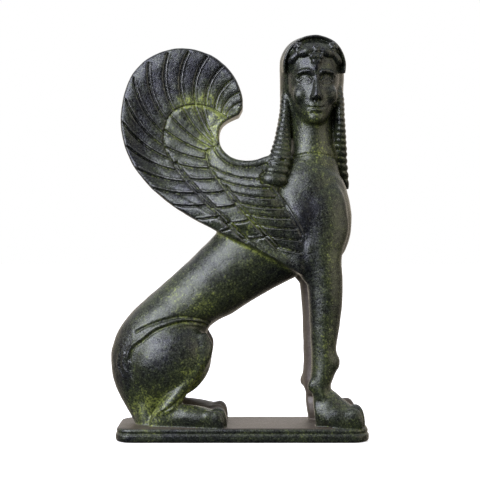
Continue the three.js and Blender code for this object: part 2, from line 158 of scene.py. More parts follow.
RUMP = [
    (5, -44, 6.4, 11.6, 11.6),
    (12, -45, 7.6, 11.6, 11.6),
    (24, -46, 9, 10.5, 10.5),
    (34, -44, 9, 9, 9),
]

# The two wings, joined back to back as one slab that thickens towards the shoulders.
WING = {"thin": 4.4, "thick": 17.4, "thin_at": (-44, 172), "thick_at": (28, 103), "edge": 1.5}
WING_INNER = [
    (0.6, 160), (-4.8, 157.6), (-8.2, 154.6), (-9.4, 150), (-8.5, 144.3), (-5, 140),
    (0.5, 137.6), (8, 137.6), (15, 139.6), (24, 141),
]
WING_SEAM = [(20, 122.5), (26, 111), (31, 100), (32, 91), (32, 80.5)]
WING_OUTER = [
    (22, 86.2), (6, 94.8), (-11.4, 103.2), (-24, 109.8), (-37.5, 119.2), (-49.2, 131.3),
    (-56.3, 145.2), (-58.3, 161.3), (-53.9, 179), (-43.8, 189.5), (-29, 194), (-14.2, 190.6),
    (-3.3, 181.6), (1.8, 171), (2.5, 163.5),
]
# Boundaries of the feather rows, each from the curl towards the body.
ROW_OUTER = [
    (-6, 159), (-15, 164.2), (-25, 164.9), (-33.2, 160.8), (-36.4, 152.5), (-35.8, 143.4),
    (-28.5, 131.3), (-14.3, 115.2), (3.8, 97.4),
]
ROW_INNER = [
    (-8.8, 145.4), (-15.4, 142.2), (-15, 137.6), (-12.4, 131.6), (-1.3, 116.6), (9.8, 104.2),
    (19.7, 93.4),
]
COVERT_ENDS = [(9, 130), (16, 122), (24.5, 110.5), (29.6, 100), (30.8, 90.5)]
# How many lines mark the long feathers, the second row and the coverts. The lines after the first
# few are the lower feathers of a row, which rise over the next one within OVERLAP.
LONG, SECOND, COVERTS = 17, 12, 8
LONG_UPPER, SECOND_UPPER = 8, 6
OVERLAP = 4.5
# A plain border inside the curl.
BORDER = 3.4
# How much the pair swells, or is hollowed, on its way down and forwards.
WING_SLOPE = (0.5, -0.87)
WING_SWELL = [(-195, 2.2), (-165, -1.0), (-138, -3.3), (-118, 0), (-98, 3.0), (-70, 0.6), (-55, 0)]

# The head looks towards -Y. Its own frame has x to its left, y backwards and z up.
HEAD = {"at": (37.3, 0, 176), "turn": 0.06}
FACE = [
    (-20.8, 0, 3.6, 13.4, 6),
    (-19.2, 0, 6.0, 15.0, 8),
    (-15.5, 0, 8.6, 15.9, 10),
    (-11, 0, 10.4, 16.1, 10),
    (-6, 0, 11.9, 16, 10),
    (0, 0, 12.8, 15.6, 10),
    (6, 0, 13.1, 15.5, 10),
    (11, 0, 12.9, 14.9, 10),
    (17, 0, 11.6, 12.6, 10),
]
NOSE = [
    (5, 0, 2.0, 15.6, -12),
    (1, 0, 1.5, 16.9, -12),
    (-4.5, 0, 1.8, 18.6, -12),
    (-7.4, 0, 2.5, 19.4, -12),
    (-8.9, 0, 2.3, 18.4, -12),
    (-9.7, 0, 1.5, 16.6, -12),
]
HAIR = [
    (-22, 0, 11.0, 1, 11),
    (-15, 0, 14.6, 4, 13),
    (-8, 0, 15.8, 7, 16),
    (1, 0, 16, 10.4, 17.2),
    (9, 0, 16.2, 12.6, 17.6),
    (13, 0, 15.9, 12.8, 17),
    (17, 0, 14.4, 11.8, 15.4),
    (20.5, 0, 11.4, 9.4, 12.2),
    (22.8, 0, 7.6, 6.2, 8.2),
    (24.1, 0, 3, 2.6, 3.4),
]
FRINGE = [
    (12.4, 0, 12.8, 13.2, 6),
    (13.4, 0, 13.4, 15.0, 6),
    (15.4, 0, 13.0, 15.2, 6),
    (18.4, 0, 11.0, 12.8, 6),
    (20.6, 0, 8.6, 9.8, 6),
]
BACK_HAIR = {"ridges": 7, "from": 168, "to": 133, "narrowing": 3.2, "swell": 0.6}
# Tresses: places down the path, with the half width and half depth there.
TRESS_NEAR = [
    ((24.8, 1.4, 178), 2.4, 3.2),
    ((24.2, 0.6, 168), 3.1, 4.4),
    ((23.2, -1.2, 159), 3.1, 4.6),
    ((22.2, -5.2, 148), 4.3, 4.4),
    ((20.8, -10.8, 139), 5.6, 4.0),
    ((18.8, -13.2, 132), 6.2, 3.8),
    ((17, -14.2, 125.2), 6.0, 3.6),
]
TRESS_FAR = [
    ((49.6, 0.6, 178), 2.4, 3.2),
    ((50.2, -1.0, 168), 3.0, 4.6),
    ((50.6, -2.2, 159), 2.9, 4.4),
    ((50.9, 0, 148), 3.4, 4.0),
    ((51.2, 4, 138), 4.0, 3.6),
    ((53, 6.5, 130), 3.0, 3.0),
    ((55.2, 7.5, 124), 1.2, 1.6),
]

# ------------------------------------------------------------------ curves


def spline(points, steps=12):
    """A smooth curve through the points, with this many places to a span."""
    p = np.array(points, float)
    p = np.vstack([2 * p[0] - p[1], p, 2 * p[-1] - p[-2]])
    t = (np.arange(steps) / steps)[:, None]
    spans = []
    for a, b, c, d in zip(p, p[1:], p[2:], p[3:]):
        bend = (2 * a - 5 * b + 4 * c - d) + t * (3 * b - a - 3 * c + d)
        spans.append(b + 0.5 * t * ((c - a) + t * bend))
    return np.vstack([*spans, p[-2:-1]])


def along(curve, shares):
    """Places on a curve at these shares of its length."""
    run = np.r_[0, np.cumsum(np.linalg.norm(np.diff(curve, axis=0), axis=1))]
    return np.stack([np.interp(np.asarray(shares) * run[-1], run, axis) for axis in curve.T], -1)


def beside(curve, distance):
    """A flat curve moved sideways, to its left."""
    ahead = np.gradient(curve, axis=0)
    ahead /= np.linalg.norm(ahead, axis=1)[:, None]
    return curve + distance * np.stack([-ahead[:, 1], ahead[:, 0]], -1)


def distance_to(curve, places):
    """How far each place is from a flat curve."""
    nearest = np.full(len(places), 1e9)
    for a, b in zip(curve, curve[1:]):
        reach = b - a
        share = np.clip(((places - a) @ reach) / max(reach @ reach, 1e-9), 0, 1)
        nearest = np.minimum(nearest, np.linalg.norm(places - a - share[:, None] * reach, axis=1))
    return nearest


# ------------------------------------------------------------------ forms

FORMS = []


def keep(bm, place=Matrix()):
    """Puts a finished form among those that are fused into one skin."""
    bmesh.ops.transform(bm, matrix=place, verts=bm.verts)
    bmesh.ops.recalc_face_normals(bm, faces=bm.faces)
    mesh = bpy.data.meshes.new("form")
    bm.to_mesh(mesh)
    bm.free()
    FORMS.append(mesh)


def laid(x, y, z, at):
    """The matrix whose axes are x, y and z, and whose origin is at."""
    return Matrix((*zip(x, y, z, at), (0, 0, 0, 1)))


def grown_ring(bm, edges):
    """Grows a ring of edges by one more ring, still in the same place: its vertices and its edges."""
    grown = bmesh.ops.extrude_edge_only(bm, edges=edges)["geom"]
    ring = [g for g in grown if isinstance(g, bmesh.types.BMVert)]
    fresh = set(ring)
    return ring, [g for g in grown if isinstance(g, bmesh.types.BMEdge) and fresh.issuperset(g.verts)]


def sweep(sections, around=AROUND, place=Matrix()):
    """A closed form through oval sections, each the matrix that lays the unit circle there."""
    bm = bmesh.new()
    bmesh.ops.create_circle(bm, segments=around, radius=1, cap_ends=True, matrix=sections[0])
    edges = bm.edges[:]
    for before, after in zip(sections, sections[1:]):
        ring, edges = grown_ring(bm, edges)
        bmesh.ops.transform(bm, matrix=after @ before.inverted(), verts=ring)
    bmesh.ops.contextual_create(bm, geom=edges)
    keep(bm, place)


def limb(stations, offset=0.0, side=1, shift=0.0, around=AROUND, steps=STEPS):
    """A body or a limb: sections whose ends lie on the two side outlines."""
    back, front = (spline([s[i] for s in stations], steps) for i in (0, 1))
    half = spline([(s[2], 0) for s in stations], steps)[:, 0]
    sections = []
    for b, f, h in zip(back, front, half):
        (mx, mz), (rx, rz) = (b + f) / 2, (f - b) / 2
        sections.append(laid((rx, 0, rz), (0, h, 0), (-rz, 0, rx), (mx + shift, side * offset, mz)))
    sweep(sections, around)


def column(stations, around=AROUND, steps=STEPS, place=Matrix()):
    """An upright form drawn by level sections."""
    sections = []
    for z, x, wide, front, back in spline(stations, steps):
        middle = (x, (back - front) / 2, z)
        sections.append(laid((wide, 0, 0), (0, (front + back) / 2, 0), (0, 0, 1), middle))
    sweep(sections, around, place)


def ellipsoid(at, radii, turn=(0, 0, 0), place=Matrix()):
    """An oval swelling, given by its middle, its three radii and its turn."""
    bm = bmesh.new()
    lie = Matrix.Translation(at) @ Euler(turn).to_matrix().to_4x4() @ Matrix.Diagonal((*radii, 1))
    bmesh.ops.create_uvsphere(bm, u_segments=32, v_segments=20, radius=1, matrix=lie)
    keep(bm, place)


def band(places, radius, deep, around=24, place=Matrix()):
    """A band along places. It is deep times as broad across its bend as it is thick."""
    places = np.array(places, float)
    ahead = np.gradient(places, axis=0)
    sections = []
    for p, way in zip(places, ahead):
        way = Vector(way).normalized()
        out = Vector((0, 1, 0)).cross(way).normalized()
        sections.append(laid(out * radius, way.cross(out) * radius * deep, way * radius, p))
    sweep(sections, around, place)


# ------------------------------------------------------------------ plinth and legs


def plinth():
    """A rounded slab. Its rim has a fine step that runs right round."""
    middle = (PLINTH["from"] + PLINTH["to"]) / 2
    length, depth = PLINTH["to"] - PLINTH["from"], 2 * PLINTH["half_depth"]
    inset = RIM[0][0]
    bm = bmesh.new()
    bmesh.ops.create_grid(bm, x_segments=1, y_segments=1, size=0.5)
    bmesh.ops.scale(bm, vec=(length - 2 * inset, depth - 2 * inset, 1), verts=bm.verts)
    bmesh.ops.bevel(
        bm, geom=bm.verts[:], offset=PLINTH["corner"] - inset, segments=12, profile=0.5, affect="VERTICES",
        material=-1,
    )
    edges = bm.edges[:]
    for (inset, z), (next_inset, next_z) in zip(RIM, RIM[1:]):
        ring, edges = grown_ring(bm, edges)
        across = (length - 2 * next_inset) / (length - 2 * inset)
        deep = (depth - 2 * next_inset) / (depth - 2 * inset)
        bmesh.ops.scale(bm, vec=(across, deep, 1), verts=ring)
        bmesh.ops.translate(bm, vec=(0, 0, next_z - z), verts=ring)
    bmesh.ops.contextual_create(bm, geom=edges)
    keep(bm, Matrix.Translation((middle, 0, 0)))


def toe(start, end, tall, wide, y):
    """One toe, from start to end along x, with its blunt claw."""
    def place(share, rise):
        return start + (end - start) * share, PLINTH["top"] + tall * rise

    stations = [(place(*low), place(*high), wide * half) for low, high, half in TOE]
    limb(stations, abs(y), math.copysign(1, y), around=20)


def paw(size, side, shift=0.0):
    """A lion's paw: a rounded foot and its knuckled toes. The outer toes are shorter and lower."""
    limb(size["stations"], size["offset"], side, shift)
    wide = size["width"]
    for across in np.linspace(-1, 1, TOES):
        y = side * size["offset"] + across * (size["spread"] - wide / 2)
        start, end = (size[key] + shift - 1.8 * abs(across) ** 1.5 for key in ("from", "to"))
        toe(start, end, size["height"] * (1 - 0.14 * abs(across)), wide, y)


def foreleg(side):
    """A straight foreleg with its paw; the far one stands a little further back."""
    shift = -FAR_SET_BACK if side > 0 else 0
    limb(FORELEG, FORELEG_OFFSET, side, shift)
    paw(FOREPAW, side, shift)
    ellipsoid((36.4 + shift, side * 12.4, 27.6), (2.4, 3.0, 3.8), (0, 0.3, 0))  # carpal pad
    ellipsoid((45.6 + shift, side * 11.0, 38.2), (4.6, 5.2, 5.4), (0, 0.1, 0))  # wrist
    ellipsoid((36 + shift, side * 11, 92), (8, 6.9, 16))  # upper arm
    ellipsoid((31, side * 10.4, 107), (13, 7.2, 17))  # shoulder blade
    ellipsoid((50.5 + shift, side * 17.2, 11.5), (3.2, 2.2, 3.6))  # outer toe's knuckle
    ellipsoid((42.6 + shift, side * 15.6, 13.5), (2.6, 2.4, 5.6), (0, 0.2, 0))  # dew claw


def hindleg(side):
    """A folded hind leg: the thigh, the shin that slants back to the heel, and the paw."""
    x, y, z = THIGH["at"]
    ellipsoid((x, side * y, z), THIGH["radii"], (0, -THIGH["lean"], 0))
    limb(SHIN, SHIN_OFFSET, side)
    ellipsoid((-14.5, side * 17.2, 12), (3.4, 2.2, 3.6))  # outer toe's knuckle
    paw(HINDPAW, side)


# ------------------------------------------------------------------ wings


def wing_share(x, z):
    """How far a place lies from the curl, 0, to the shoulder, 1."""
    (x0, z0), (x1, z1) = WING["thin_at"], WING["thick_at"]
    return ((x - x0) * (x1 - x0) + (z - z0) * (z1 - z0)) / ((x1 - x0) ** 2 + (z1 - z0) ** 2)


def wing_half(x, z):
    """Half the pair's thickness."""
    return WING["thin"] + (WING["thick"] - WING["thin"]) * np.minimum(wing_share(x, z), 1)


def wing_rim():
    """The pair's closed outline: inside the curl, down the shoulder and round the outside."""
    runs = ((WING_INNER, 48), (WING_SEAM, 16), (WING_OUTER, 110))
    return np.vstack([along(spline(points), np.linspace(0, 1, count)) for points, count in runs])


def wings():
    """The pair's outline, drawn out to both sides and rounded over."""
    bm = bmesh.new()
    face = bm.faces.new([bm.verts.new((x, -1, z)) for x, z in wing_rim()])
    grown = bmesh.ops.extrude_face_region(bm, geom=[face])["geom"]
    bmesh.ops.translate(bm, vec=(0, 2, 0), verts=[g for g in grown if isinstance(g, bmesh.types.BMVert)])
    for v in bm.verts:
        v.co.y *= wing_half(v.co.x, v.co.z)
    rims = [e for e in bm.edges if any(len(f.verts) > 4 for f in e.link_faces)]
    bmesh.ops.bevel(
        bm, geom=rims, offset=WING["edge"], segments=4, profile=0.5, affect="EDGES", material=-1,
    )
    keep(bm)


def feather_edge(root, end, bow):
    """One feather's edge, from its root to its end, bowed to one side."""
    t = np.linspace(0, 1, 12)[:, None]
    sag = np.array([end[1] - root[1], root[0] - end[0]]) * 2 * bow
    middle = (root + end) / 2 + sag
    return (1 - t) ** 2 * root + 2 * t * (1 - t) * middle + t ** 2 * end


def feather_lines():
    """The chased lines: long feathers round the outside, a second row, and the coverts."""
    outer, row_outer, row_inner = spline(WING_OUTER), spline(ROW_OUTER), spline(ROW_INNER)
    covert_ends = spline(COVERT_ENDS)
    long, second, coverts = [], [], []
    for u in np.linspace(0, 1, LONG):
        root, end = along(row_outer, 0.91 * u ** 1.3), along(outer, 0.985 - 0.823 * u ** 1.25)
        end = end + 0.07 * (root - end)
        long.append(feather_edge(root, end, -0.15 * (1 - u) ** 0.7))
    for u in np.linspace(0, 1, SECOND):
        root, end = along(row_inner, 0.02 + 0.85 * u ** 2.2), along(row_outer, 0.12 + 0.86 * u ** 1.3)
        second.append(feather_edge(root, end, -0.05))
    for u in np.linspace(0, 1, COVERTS):
        root, end = along(row_inner, 0.22 + 0.75 * u), along(covert_ends, 0.06 + 0.9 * u)
        coverts.append(feather_edge(root, end, 0.07 * (1 - u)))
    return long, second, coverts


# ------------------------------------------------------------------ head and hair

HEAD_PLACE = Matrix.Translation(HEAD["at"]) @ Matrix.Rotation(HEAD["turn"], 4, "Z")


def on_head(form, *sizes, **more):
    """Makes a form in the head's own frame."""
    form(*sizes, place=HEAD_PLACE, **more)


def head():
    """The face, the cap of hair, the wreath over the forehead and the hood's rim."""
    on_head(column, FACE)
    on_head(column, NOSE, around=24)
    on_head(column, HAIR)
    on_head(column, FRINGE)
    for s in (-1, 1):
        on_head(ellipsoid, (s * 6.6, -10.9, -6.4), (4.6, 3.9, 5.2))  # cheek
        on_head(ellipsoid, (s * 1.9, -16.6, -8.3), (1.2, 1.7, 1.2))  # nostril wing
        on_head(ellipsoid, (s * 5.2, -14.3, 4.2), (4.6, 1.6, 1.2), (0, s * 0.12, s * 0.2))  # brow
        on_head(ellipsoid, (s * 10.6, -10.8, 11.6), (4.2, 1.7, 2.0), (0, s * 0.75, s * 0.6))  # leaf
        on_head(ellipsoid, (s * 5.6, -14.2, 14.0), (3.8, 1.5, 2.2), (0, s * 0.3, s * 0.3))  # leaf
        on_head(rosette, (s * 8.2, -12.2, 16.6), 2.9)
    on_head(ellipsoid, (0, -15.2, -12.3), (3.7, 1.7, 0.95))  # upper lip
    on_head(ellipsoid, (0, -15.0, -14.3), (3.1, 1.7, 1.1))  # lower lip
    on_head(ellipsoid, (0, -13.0, -17.9), (4.4, 2.8, 3.0))  # chin
    on_head(rosette, (0, -14.6, 14.8), 3.0)
    # The pendant's berries hang in rows of three, two and one.
    for row, z in enumerate((11.6, 9.0, 6.6)):
        for x in np.linspace(row - 2, 2 - row, 3 - row):
            on_head(ellipsoid, (1.1 * x, -15.8, z), (1.35, 1.1, 1.5))
    # The hood's rim arches over the hair from one ear to the other.
    turn = np.linspace(-0.2, math.pi + 0.2, 60)
    arch = np.stack([15.0 * np.cos(turn), -5.2 - 2.2 * np.sin(turn), 8 + 14.4 * np.sin(turn)], -1)
    on_head(band, arch, 1.0, 4.0)


def rosette(at, radius, place):
    """A boss with six round petals."""
    x, y, z = at
    ellipsoid(at, (radius * 0.36, 1.9, radius * 0.36), place=place)
    for a in np.linspace(0, 2 * math.pi, 7)[:-1]:
        petal = (x + 0.62 * radius * math.cos(a), y + 0.2, z + 0.62 * radius * math.sin(a))
        ellipsoid(petal, (radius * 0.36, 1.4, radius * 0.36), place=place)


def swelling(share, sharpness=0.5):
    """How full a tress is between one nip, at a whole number, and the next."""
    return abs(math.sin(math.pi * share)) ** sharpness


def tress(stations, waves):
    """A tress in small waves that grow into full rolls towards its end."""
    places = spline([(*at, half, deep) for at, half, deep in stations], 40)
    count = 16 * waves
    sections = []
    for k, (x, y, z, half, deep) in enumerate(along(places, np.linspace(0, 1, count + 1))):
        share = k / count
        wave = waves * (1.2 * share - 0.2 * share ** 4)
        nip = 1 - (0.12 + 0.2 * share) * (1 - swelling(wave))
        sections.append(laid((half * nip, 0, -0.12 * half), (0, deep * nip, 0), (0, 0, 1), (x, y, z)))
    sweep(sections, 28)


def back_hair():
    """The hair behind the neck, waved in level ridges down to the shoulders."""
    b = BACK_HAIR
    stations = []
    for f in np.linspace(0, 1, 12 * b["ridges"] + 1):
        crest = b["swell"] * 1.6 * (swelling(b["ridges"] * f, 0.6) - 0.4)
        stations.append((
            b["from"] + (b["to"] - b["from"]) * f, HEAD["at"][0], 15.4 - b["narrowing"] * f * f + crest,
            2 + 5 * f, 15.6 - b["narrowing"] * f + crest,
        ))
    column(stations, 48, 1)


# ------------------------------------------------------------------ one skin


def mesh_object(name, mesh):
    """A new object in the scene that shows this mesh."""
    made = bpy.data.objects.new(name, mesh)
    bpy.context.scene.collection.objects.link(made)
    return made


def with_modifier(mesh, kind, **settings):
    """The mesh as this modifier leaves it."""
    carrier = mesh_object("carrier", mesh)
    modifier = carrier.modifiers.new(kind, kind)
    for key, value in settings.items():
        setattr(modifier, key, value)
    done = bpy.data.meshes.new_from_object(carrier.evaluated_get(bpy.context.evaluated_depsgraph_get()))
    bpy.data.objects.remove(carrier)
    return done


def fused():
    """Every form of the figure, fused into one closed skin."""
    limb(TORSO, around=64, steps=10)
    column(RUMP)
    column(NECK)
    for side in (-1, 1):
        foreleg(side)
        hindleg(side)
    back_hair()
    tress(TRESS_NEAR, 20)
    tress(TRESS_FAR, 18)
    head()
    plinth()
    wings()
    bm = bmesh.new()
    for mesh in FORMS:
        bm.from_mesh(mesh)
        bpy.data.meshes.remove(mesh)
    mesh = bpy.data.meshes.new("forms")
    bm.to_mesh(mesh)
    bm.free()
    return with_modifier(mesh, "REMESH", mode="VOXEL", voxel_size=VOXEL)


def rounded(t):
    """A round cord's profile: 1 in the middle, 0 at the edge."""
    return np.cos(np.clip(t, 0, 1) * math.pi / 2) ** 2


def vee(t):
    """A graver's cut: 1 in the middle, 0 at the edge."""
    return np.clip(1 - t, 0, 1)


def eased(t):
    """A smooth rise from 0 to 1."""
    t = np.clip(t, 0, 1)
    return t * t * (3 - 2 * t)


class Skin:
    """The skin's places, its outward directions and who neighbours whom."""

    def __init__(self, mesh):
        self.mesh = mesh
        self.count = len(mesh.vertices)
        self.edges = np.zeros(len(mesh.edges) * 2, np.int32)
        mesh.edges.foreach_get("vertices", self.edges)
        self.edges = self.edges.reshape(-1, 2)
        self.ties = np.bincount(self.edges.ravel(), minlength=self.count)
        self.co = self.read("co")
        self.out = self.read("normal")
        self.lift = np.zeros(self.count)

    def read(self, name):
        """One vector for each place, such as "co" or "normal"."""
        values = np.zeros(self.count * 3, np.float32)
        self.mesh.vertices.foreach_get(name, values)
        return values.reshape(-1, 3).astype(float)

    def write(self):
        """Hands the places to the mesh and takes its new outward directions."""
        self.mesh.vertices.foreach_set("co", self.co.astype(np.float32).ravel())
        self.mesh.update()
        self.out = self.read("normal")

    def mean(self, values):
        """Each place's mean over its neighbours."""
        a, b = self.edges.T
        total = [
            np.bincount(a, axis[b], self.count) + np.bincount(b, axis[a], self.count)
            for axis in np.atleast_2d(values.T)
        ]
        return (np.array(total) / self.ties).T.reshape(values.shape)

    def relaxed(self, times, where=None):
        """The places after this many rounds of relaxing, all over or only where told."""
        co, share = self.co, 0.6 if where is None else 0.6 * np.reshape(where, (-1, 1))
        for _ in range(times):
            co = co + share * (self.mean(co) - co)
        return co

    def depth(self, times):
        """How deep each place lies in a hollow as wide as this many rounds of relaxing reach."""
        return ((self.relaxed(times) - self.co) * self.out).sum(1)

    def near(self, curve, half, where, co=None):
        """The places within half of a curve, and how far off each is, from 0 to 1."""
        co = self.co if co is None else co
        flat = co[:, ::2] if curve.shape[1] == 2 else co
        low, high = curve.min(0) - half, curve.max(0) + half
        chosen = np.flatnonzero(where & ((flat > low) & (flat < high)).all(1))
        away = distance_to(curve, flat[chosen]) / half
        return chosen[away < 1], away[away < 1]

    def chase(self, curve, half, height, where, profile=vee, co=None):
        """Cuts a line, or raises one, along a curve."""
        chosen, away = self.near(curve, half, where, co)
        deeper = height * profile(away)
        now = self.lift[chosen]
        self.lift[chosen] = np.minimum(now, deeper) if height < 0 and profile is vee else now + deeper

    def press(self, at, radii, height, co=None, where=True):
        """Raises a soft round swelling, or presses a hollow."""
        co = self.co if co is None else co
        away = (((co - at) / radii) ** 2).sum(1)
        chosen = np.flatnonzero((away < 6) & where)
        self.lift[chosen] += height * np.exp(-away[chosen])

    def settle(self):
        """Moves the skin by what has been cut and raised so far."""
        self.co = self.co + self.out * self.lift[:, None]
        self.lift = np.zeros(self.count)
        self.write()


def side_of(curve, places):
    """+1 to the left of a flat curve and -1 to its right, with the distance."""
    nearest, side = np.full(len(places), 1e9), np.zeros(len(places))
    for a, b in zip(curve, curve[1:]):
        reach, from_a = b - a, places - a
        share = np.clip((from_a @ reach) / max(reach @ reach, 1e-9), 0, 1)
        away = np.linalg.norm(from_a - share[:, None] * reach, axis=1)
        closer = away < nearest
        nearest[closer] = away[closer]
        side[closer] = np.sign(reach[0] * from_a[closer, 1] - reach[1] * from_a[closer, 0])
    return side * nearest


def inside(rim, places):
    """Whether each place lies within a closed flat outline."""
    within = np.zeros(len(places), bool)
    x, z = places.T
    for (ax, az), (bx, bz) in zip(rim, np.roll(rim, -1, axis=0)):
        if az != bz:
            crossed = ((az > z) != (bz > z)) & (x < (bx - ax) * (z - az) / (bz - az) + ax)
            within ^= crossed
    return within


# How squarely the skin faces sideways, and how near the pair's even taper it lies, on a wing's face.
FACING = 0.7
NEAR_FACE = 1.6
# Each row's boundary, how far the next row lies below it, and how far out that drop fades.
ROW_DROPS = [(ROW_OUTER, 0.55, 16), (ROW_INNER, 0.4, 9)]
# Cuts and raised edges: the half width, and the height, below zero for a cut.
FEATHER_CUT = {"half": 0.62, "height": -1.2}
FEATHER_EDGE = {"half": 0.6, "height": 0.3}
ROW_CUT = {"half": 0.7, "height": -1.3}
RIM_CUT = {"half": 0.5, "height": -0.22}


def closest_to(lines, flat, reach):
    """Each place's distance to the closest of the lines, as far as reach."""
    away = np.full(len(flat), float(reach))
    for line in lines:
        near = ((flat > line.min(0) - reach) & (flat < line.max(0) + reach)).all(1)
        away[near] = np.minimum(away[near], distance_to(line, flat[near]))
    return away


def chase_wings(skin):
    """Swells the wings, sets their rows in steps and cuts every feather's edge."""
    x, y, z = skin.co.T
    rim = wing_rim()
    closed_rim = np.vstack([rim, rim[:1]])
    face = (np.abs(skin.out[:, 1]) > FACING) & (np.abs(np.abs(y) - wing_half(x, z)) < NEAR_FACE)
    chosen = np.flatnonzero(face & (z > 78))
    chosen = chosen[inside(rim, skin.co[chosen][:, ::2])]
    on_wing = np.zeros(skin.count, bool)
    on_wing[chosen] = True
    flat = skin.co[chosen][:, ::2]

    # The pair is hollow above and swells below, rather than growing evenly.
    down, swell = spline(WING_SWELL).T
    edge = distance_to(closed_rim, flat)
    skin.lift[chosen] += np.interp(flat @ WING_SLOPE, down, swell) * eased(edge / 9)

    # The rows overlap, so each lies a little lower than the one inside it.
    for row, drop, fade in ROW_DROPS:
        outside = side_of(spline(row), flat)
        skin.lift[chosen] -= drop * eased(outside / 0.9 + 0.5) * np.exp(-np.clip(outside, 0, None) / fade)
    skin.settle()

    # Feathers: pillowed between their edges, which are cut as fine grooves.
    long, second, coverts = feather_lines()
    feathers = [*long, *second, *coverts]
    row_outer, row_inner = spline(ROW_OUTER), spline(ROW_INNER)
    shafts = [
        beside(along(row_outer, np.linspace(0.52, 1, 40)), 1.7),
        beside(along(row_inner, np.linspace(0.42, 1, 40)), 1.5),
    ]
    border = beside(spline(WING_INNER[3:]), -BORDER)
    rows = [row_outer, row_inner, *shafts, border]
    flat = skin.co[chosen][:, ::2]
    away = closest_to([*feathers, *rows], flat, 3)
    skin.lift[chosen] += 0.22 * (1 - np.exp(-((away / 1.5) ** 2)))
    for line in (*long[LONG_UPPER:], *second[SECOND_UPPER:]):
        near = ((flat > line.min(0) - OVERLAP) & (flat < line.max(0) + OVERLAP)).all(1)
        over = side_of(line, flat[near])
        skin.lift[chosen[near]] += 0.4 * np.where(over < 0, np.clip(1 + over / OVERLAP, 0, 1), 0)
    for line in feathers:
        skin.chase(line, where=on_wing, **FEATHER_CUT)
        skin.chase(beside(line, -0.9), where=on_wing, profile=rounded, **FEATHER_EDGE)
    for line in rows:
        skin.chase(line, where=on_wing, **ROW_CUT)
    skin.chase(beside(closed_rim, 1.7), where=on_wing, **RIM_CUT)
    skin.settle()


def head_frame(places):
    """Places in the head's own frame."""
    return (places - HEAD["at"]) @ np.array(Matrix.Rotation(-HEAD["turn"], 3, "Z")).T


# Rounds of relaxing for a skin of 1 mm voxels, and how freely the toes and the face are relaxed.
SOFTENING = 4.6
TOES_FREE = 0.25
FACE_FREE = 0.6


def soften(skin):
    """Runs the forms into one another as wax does: freely over the body, little in the hair."""
    skin.co = skin.relaxed(2)
    skin.write()
    x, y, z = skin.co.T
    lx, ly, lz = head_frame(skin.co).T
    face = (ly < -6) & (np.abs(lx) < 12.5) & (lz > -22) & (lz < 9)
    near_tress = (x < 28.5) & (z > 122) & (y < 2)
    far_tress = (x > 46.5) & (z > 122) & ((z > 136) | (y > -4))
    hair = near_tress | far_tress | (z > 160) | ((y > 3) & (z > 131))
    blade = (np.abs(np.abs(y) - wing_half(x, z)) < 1.5) & (x < 26) & (z > 86)
    blade &= np.abs(skin.out[:, 1]) > FACING
    toes = (z < 19) & ((x > 47) | ((x > -26) & (x < 0)))
    free = np.where((hair & ~face) | blade | (z < PLINTH["top"] + 1), 0.0, 1.0)
    free[toes] *= TOES_FREE
    for _ in range(5):
        free = skin.mean(free)
    skin.co = skin.relaxed(int(SOFTENING / VOXEL ** 2), free * np.where(face, FACE_FREE, 1.0))
    skin.write()


SHOULDER = [(16.1, 123.3), (21.5, 116.9), (25.5, 110.5), (29, 104.6), (31, 100.6)]
THIGH_LINES = [
    [
        (-53, 39.9), (-51.1, 45.2), (-45.8, 49.4), (-39.5, 54.1), (-30.1, 57.3), (-23.2, 58.1),
        (-16.9, 56.8), (-13.8, 55.2),
    ],
    [(-49.8, 53.4), (-43.5, 56.6), (-35.5, 59.3), (-27.6, 60.8), (-19.6, 59.7), (-14.4, 58.1)],
]
SHIN_RIDGE = [(-19.7, 38.3), (-25.1, 28.2), (-34.3, 19.9), (-39.1, 17)]
TUFT = [
    [(-58.6, 42), (-59.2, 36), (-56.6, 31)],
    [(-55.8, 43), (-56.4, 37), (-53.6, 32)],
    [(-53.2, 39), (-53.6, 34), (-51, 29)],
]


def chase_body(skin):
    """The shoulder's double line, the thigh's lines and fold, the shin, the tail's tuft and the neck."""
    y, z = skin.co.T[1:]
    for side in (-1, 1):
        flank = (skin.out[:, 1] * side > 0.25) & (y * side > 6)
        shoulder, ridge = spline(SHOULDER), spline(SHIN_RIDGE)
        skin.chase(shoulder, half=0.9, height=-0.7, where=flank)
        skin.chase(beside(shoulder, 1.9), half=0.8, height=-0.5, where=flank)
        for line in THIGH_LINES:
            skin.chase(spline(line), half=1.0, height=-0.8, where=flank)
        fold = beside(spline(THIGH_LINES[0]), 1.6)
        skin.chase(fold, half=1.4, height=0.4, where=flank, profile=rounded)
        skin.chase(beside(ridge, 3.2), half=1.1, height=-0.7, where=flank)
        for line in TUFT:
            skin.chase(spline(line), half=0.9, height=0.3, where=flank, profile=rounded)
    turn = np.linspace(0, 2 * math.pi, 60)
    neckline = np.stack([37 + 11.6 * np.cos(turn), 11 * np.sin(turn), 140.2 + 0.6 * np.sin(3 * turn)], -1)
    skin.chase(neckline, half=1.4, height=-0.6, where=z > 130, profile=rounded)
    skin.settle()


